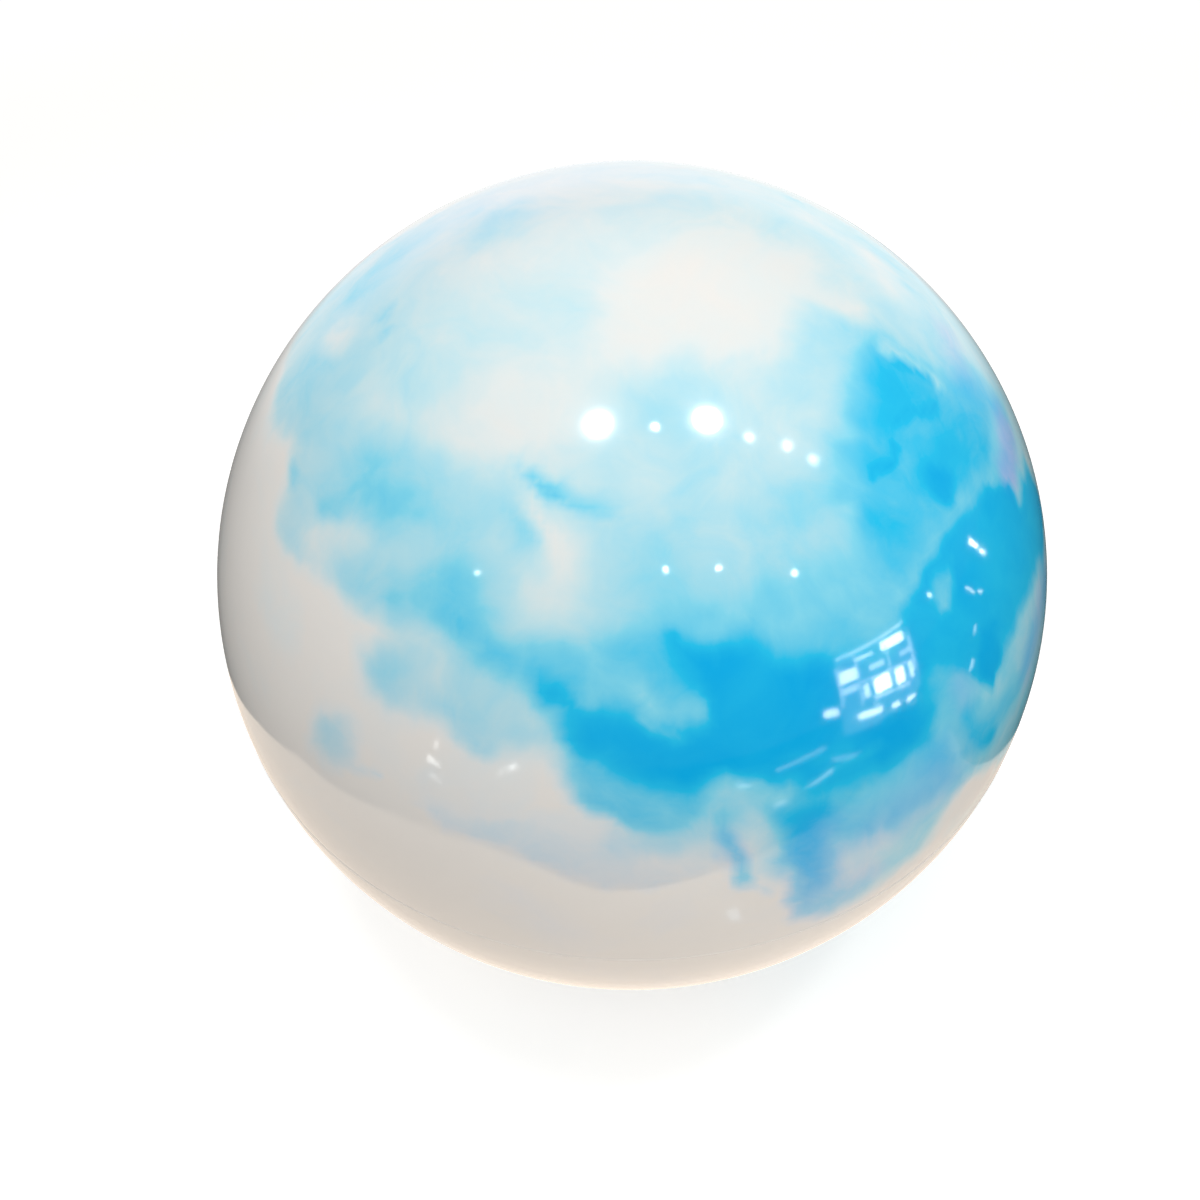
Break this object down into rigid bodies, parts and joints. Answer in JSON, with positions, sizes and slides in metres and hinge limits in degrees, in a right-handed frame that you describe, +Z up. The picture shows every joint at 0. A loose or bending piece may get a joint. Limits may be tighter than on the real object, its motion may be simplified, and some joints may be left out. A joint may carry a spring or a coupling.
{
  "type": "exercise ball",
  "caption": "Inflated vinyl exercise ball with a marbled glossy skin, standing on a small flat, with a push-in valve plug.",
  "frame": {"origin": "middle of the flat that the ball rests on, at floor level", "axes": "+Z up through the ball's centre, +Y towards the side with the valve, -Y towards the viewer"},
  "size_m": [0.6506, 0.6506, 0.648],
  "materials": {
    "marbled_vinyl": "gloss",
    "seat_vinyl": "satin",
    "plug_vinyl": "satin"
  },
  "bodies": {
    "ball": {"ball_shell": "marbled_vinyl", "valve_seat": "seat_vinyl"},
    "plug": {"valve_plug": "plug_vinyl"}
  },
  "joints": [
    {"name": "plug_pull", "type": "slide", "parent": "ball", "child": "plug", "axis": [0, 0.9659, 0.2588], "range_m": [0, 0.035]}
  ]
}
